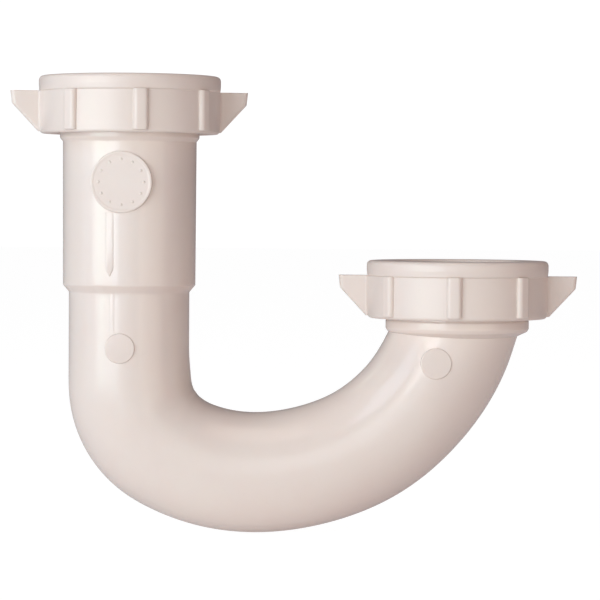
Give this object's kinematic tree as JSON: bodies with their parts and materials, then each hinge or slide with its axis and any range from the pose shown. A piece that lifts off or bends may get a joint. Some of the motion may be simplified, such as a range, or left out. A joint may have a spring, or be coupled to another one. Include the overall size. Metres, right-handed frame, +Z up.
{
  "type": "p trap",
  "caption": "J-bend of a tubular slip-joint P-trap: tall inlet leg with slip socket, U-bend and short outlet collar, each closed by a winged slip nut over a beveled washer.",
  "frame": {"origin": "bottom centre of the assembly's bounding box: under the middle between the two legs, level with the lowest point of the bend", "axes": "+X from the inlet leg to the outlet leg, +Z up along both leg axes, +Y to the back"},
  "size_m": [0.1778, 0.059, 0.143],
  "materials": {
    "trap_plastic": "glossy moulded polypropylene, warm off-white, faint flow marks",
    "nut_plastic": "glossy moulded polypropylene, warm off-white",
    "washer_plastic": "matt frosted polyethylene"
  },
  "bodies": {
    "bend": {"trap_bend": "trap_plastic"},
    "inlet_washer": {"inlet_slip_washer": "washer_plastic"},
    "inlet_nut": {"inlet_slip_nut": "nut_plastic"},
    "outlet_washer": {"outlet_slip_washer": "washer_plastic"},
    "outlet_nut": {"outlet_slip_nut": "nut_plastic"}
  },
  "joints": [
    {"name": "inlet_nut_travel", "type": "slide", "parent": "bend", "child": "inlet_washer", "axis": [0, 0, 1], "range_m": [0, 0.01215]},
    {"name": "inlet_nut_turn", "type": "hinge", "parent": "inlet_washer", "child": "inlet_nut", "pos_m": [-0.05175, 0, 0.125], "axis": [0, 0, 1], "range_deg": [0, 1980]},
    {"name": "outlet_nut_travel", "type": "slide", "parent": "bend", "child": "outlet_washer", "axis": [0, 0, 1], "range_m": [0, 0.01215]},
    {"name": "outlet_nut_turn", "type": "hinge", "parent": "outlet_washer", "child": "outlet_nut", "pos_m": [0.05145, 0, 0.0679], "axis": [0, 0, 1], "range_deg": [0, 1980]}
  ],
  "couplings": [
    {"joint": "inlet_nut_travel", "follows": "inlet_nut_turn", "m_per_rad": 0.00035152},
    {"joint": "outlet_nut_travel", "follows": "outlet_nut_turn", "m_per_rad": 0.00035152}
  ]
}
